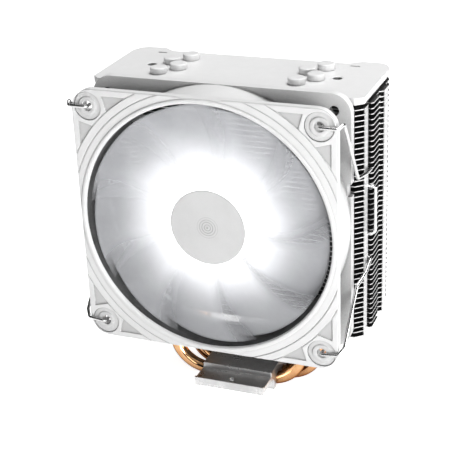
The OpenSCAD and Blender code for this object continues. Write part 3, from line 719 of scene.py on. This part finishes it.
def make_pipe_caps(material, node, name):
    """Four turned caps with a rounded crown, where the pipes come through the cover."""
    low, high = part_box(node)
    height = high.z - low.z
    pipe_boxes = [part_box(f"heat_pipe_{k}") for k in range(1, 5)]
    side = -1 if low.x + high.x < 0 else 1
    radius = PIPE_R + MM
    bore = PIPE_R + 0.1 * MM
    middle = 0.01 * MM
    inner_height = height * 0.58
    crown = rounded([(middle, height), (radius, height), (radius, 0), (bore, 0),
                     (bore, inner_height), (middle, inner_height)],
                    np.array([0.005, 0.7, 0.15, 0.1, 0.1, 0.005]) * MM)
    parts = []
    for pipe_low, pipe_high in pipe_boxes:
        x = pipe_high.x - PIPE_R if side > 0 else pipe_low.x + PIPE_R
        parts.append(turned_up(crown, 48, (x, (pipe_low.y + pipe_high.y) / 2, low.z)))
    points, faces = joined(parts)
    new_piece(name, points, faces, material, "heatsink", [node])


def make_corner_pads(material):
    """Soft pads in the frame's corner recesses: a flat washer with a raised, rounded ring."""
    hole, pad = 2.25 * MM, 6.3 * MM
    washer, raised, back = 0.6 * MM, 0.02 * MM, 1.2 * MM
    profile = rounded([(pad, washer), (4.3 * MM, washer), (4.1 * MM, raised),
                       (hole, raised), (hole, back), (pad, back)],
                      np.array([0.15, 0.25, 0.5, 0.4, 0.05, 0.05]) * MM)
    low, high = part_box("fan_frame")
    reach = (high.x - low.x) / 2 - PAD_INSET
    parts = [lathe(profile, 64, FAN_FRONT + Vector((sx * reach, 0, sz * reach)))
             for sx in (-1, 1) for sz in (-1, 1)]
    points, faces = joined(parts)
    new_piece("corner_pads", points, faces, material, "heatsink",
              ["front_corner_pads"])


def make_ring_shade_band(material):
    """Painted shade: a thin dark band inside the frame's ring, behind its bright lip, where shade falls between
    the lip and the blade tips.
    """
    low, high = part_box("fan_frame")
    radius = (high.x - low.x) / 2 - 2.3 * MM
    depth = high.y - FAN_FRONT.y
    inner, outer = radius - 0.25 * MM, radius + 0.1 * MM
    near, far = 1.0 * MM, depth - 3.2 * MM
    profile = rounded([(outer, near), (inner, near), (inner, far), (outer, far)],
                      np.array([0.05, 0.1, 0.1, 0.05]) * MM)
    points, faces = lathe(profile, 192, FAN_FRONT)
    new_piece("ring_shade_band", points, faces, material, "heatsink")


def make_ring_lip(material):
    """The rounded lip round the fan's opening, proud of the frame's front face."""
    low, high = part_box("fan_frame")
    outer = (high.x - low.x) / 2
    proud, sunk = -0.55 * MM, 1.3 * MM
    profile = rounded([(outer - 2.45 * MM, sunk), (outer - 2.2 * MM, proud),
                       (outer - 0.15 * MM, proud), (outer - 0.1 * MM, sunk)],
                      np.array([0.1, 0.8, 0.7, 0.1]) * MM)
    points, faces = lathe(profile, 256, FAN_FRONT)
    new_piece("ring_lip", points, faces, material, "heatsink")


def dress_nodes(materials):
    """Gives every CAD node the material of its own slot."""
    for part in record["subparts"]:
        for place in nodes[part["node"]].material_slots:
            place.material = materials[part["material_slot"]]


# ---------- camera, light and floor ----------

def make_camera():
    """A long lens from the front right, a little above, turned slightly about its own axis."""
    azimuth, elevation, roll = (math.radians(a) for a in (22.32, 24.08, -2.53))
    back = Vector((math.sin(azimuth) * math.cos(elevation),
                   -math.cos(azimuth) * math.cos(elevation), math.sin(elevation)))
    level = back.cross(Vector((0, 0, -1))).normalized()
    upright = back.cross(level)
    across = math.cos(roll) * level + math.sin(roll) * upright
    up = -math.sin(roll) * level + math.cos(roll) * upright
    data = bpy.data.cameras.new("camera")
    data.lens = 99.97
    data.sensor_width = 36
    data.clip_start = 0.01
    data.clip_end = 20
    camera = bpy.data.objects.new("camera", data)
    place = Matrix((across, up, back)).transposed().to_4x4()
    place.translation = Vector((0.1965, -0.5073, 0.3213))
    camera.matrix_world = place
    bpy.context.scene.collection.objects.link(camera)
    bpy.context.scene.camera = camera


def soft_light(name, place, target, size, power):
    """A rectangular lamp at a place, turned to its target."""
    data = bpy.data.lights.new(name, "AREA")
    data.shape = "RECTANGLE"
    data.size, data.size_y = size
    data.energy = power
    light = bpy.data.objects.new(name, data)
    light.location = place
    light.rotation_euler = (Vector(target) - Vector(place)).to_track_quat("-Z", "Y").to_euler()
    bpy.context.scene.collection.objects.link(light)


def make_world():
    """Soft surroundings: darker below, lighter above, and plain white straight to the camera."""
    world = bpy.data.worlds.new("studio")
    bpy.context.scene.world = world
    world.use_nodes = True
    tree = world.node_tree
    split = add(tree, "SeparateXYZ")
    put(tree, split.inputs[0], add(tree, "TexCoord").outputs["Generated"])
    level = remap(tree, split.outputs[2], -0.3, 0.7, 0.20, 0.80, smooth=True)
    seen = add(tree, "LightPath").outputs["Is Camera Ray"]
    put(tree, tree.nodes["Background"].inputs["Strength"],
        maths(tree, "MAXIMUM", level, seen))


def make_floor():
    """A pale floor that shows only a trace of shade. It glows where it is seen directly or in a
    reflection, and not where it is seen through a clear part."""
    material = bpy.data.materials.new("studio_floor")
    material.use_nodes = True
    tree = material.node_tree
    shader = tree.nodes["Principled BSDF"]
    shader.inputs["Base Color"].default_value = (0.85, 0.85, 0.85, 1)
    shader.inputs["Roughness"].default_value = 0.8
    path = add(tree, "LightPath").outputs
    unveiled = maths(tree, "LESS_THAN", path["Transparent Depth"], 0.5)
    straight = maths(tree, "MULTIPLY", path["Is Camera Ray"], unveiled)
    seen = maths(tree, "MAXIMUM", straight, maths(tree, "MULTIPLY", path["Is Glossy Ray"], 0.85))
    put(tree, shader.inputs["Emission Strength"], maths(tree, "MULTIPLY", seen, 0.85))
    shader.inputs["Emission Color"].default_value = (1, 1, 1, 1)
    mesh = bpy.data.meshes.new("studio_floor")
    reach = 4
    below = 0.2 * MM
    mesh.from_pydata([(-reach, -reach, 0), (reach, -reach, 0), (reach, reach, 0), (-reach, reach, 0)],
                     [], [(0, 1, 2, 3)])
    mesh.transform(Matrix.Translation((0, 0, -below)))
    mesh.materials.append(material)
    floor = bpy.data.objects.new("studio_floor", mesh)
    bpy.context.scene.collection.objects.link(floor)


def make_studio():
    """World, floor and four soft lights."""
    middle = (0, -0.02, 0.08)
    make_world()
    make_floor()
    soft_light("key", (0.80, -0.85, 0.20), middle, (0.5, 0.36), 10.5)
    soft_light("front", (0.25, -1.10, 0.50), middle, (0.6, 0.3), 1.5)
    soft_light("side", (1.0, 0.0, 0.20), middle, (0.4, 0.36), 2.6)
    soft_light("top", (0.1, 0.30, 1.1), middle, (0.6, 0.6), 11.5)
    bpy.context.scene.view_settings.view_transform = "Standard"


# ---------- the whole model ----------

materials = make_materials()
dress_nodes(materials)
make_hub_and_blades(materials["frosted"])
make_hub_disc(materials["disc_grey"])
make_pipe_caps(materials["cap_white"], "pipe_caps_left", "pipe_end_caps_left")
make_pipe_caps(materials["cap_white"], "pipe_caps_right", "pipe_end_caps_right")
make_corner_pads(materials["soft_pad"])
make_ring_shade_band(materials["strip_rubber"])
make_ring_lip(materials["white_plastic"])
make_camera()
make_studio()
